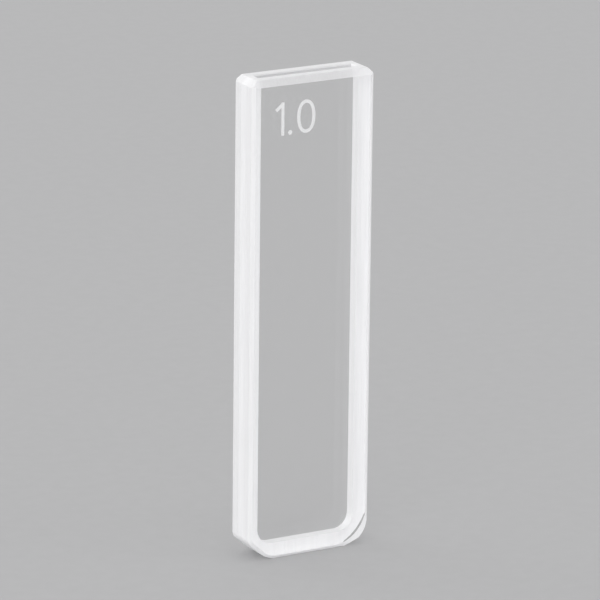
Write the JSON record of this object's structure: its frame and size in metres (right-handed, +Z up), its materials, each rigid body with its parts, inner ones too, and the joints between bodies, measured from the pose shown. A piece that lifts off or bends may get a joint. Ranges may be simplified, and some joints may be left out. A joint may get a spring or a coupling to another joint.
{
  "type": "cuvette",
  "caption": "Slim fused quartz cuvette: a thin open-topped chamber between clear polished windows, with ground white edges and rounded bottom corners.",
  "frame": {"origin": "centre of the flat base face", "axes": "+Z up along the cell's height, +Y along the light path from the front window to the rear one, +X across the width"},
  "size_m": [0.0126, 0.0036, 0.045],
  "materials": {
    "ground_quartz": "ground, frosted white",
    "polished_quartz": "optically polished, clear"
  },
  "bodies": {
    "root": {"spacer_frame": "ground_quartz", "front_window": "polished_quartz", "rear_window": "polished_quartz"}
  },
  "joints": []
}
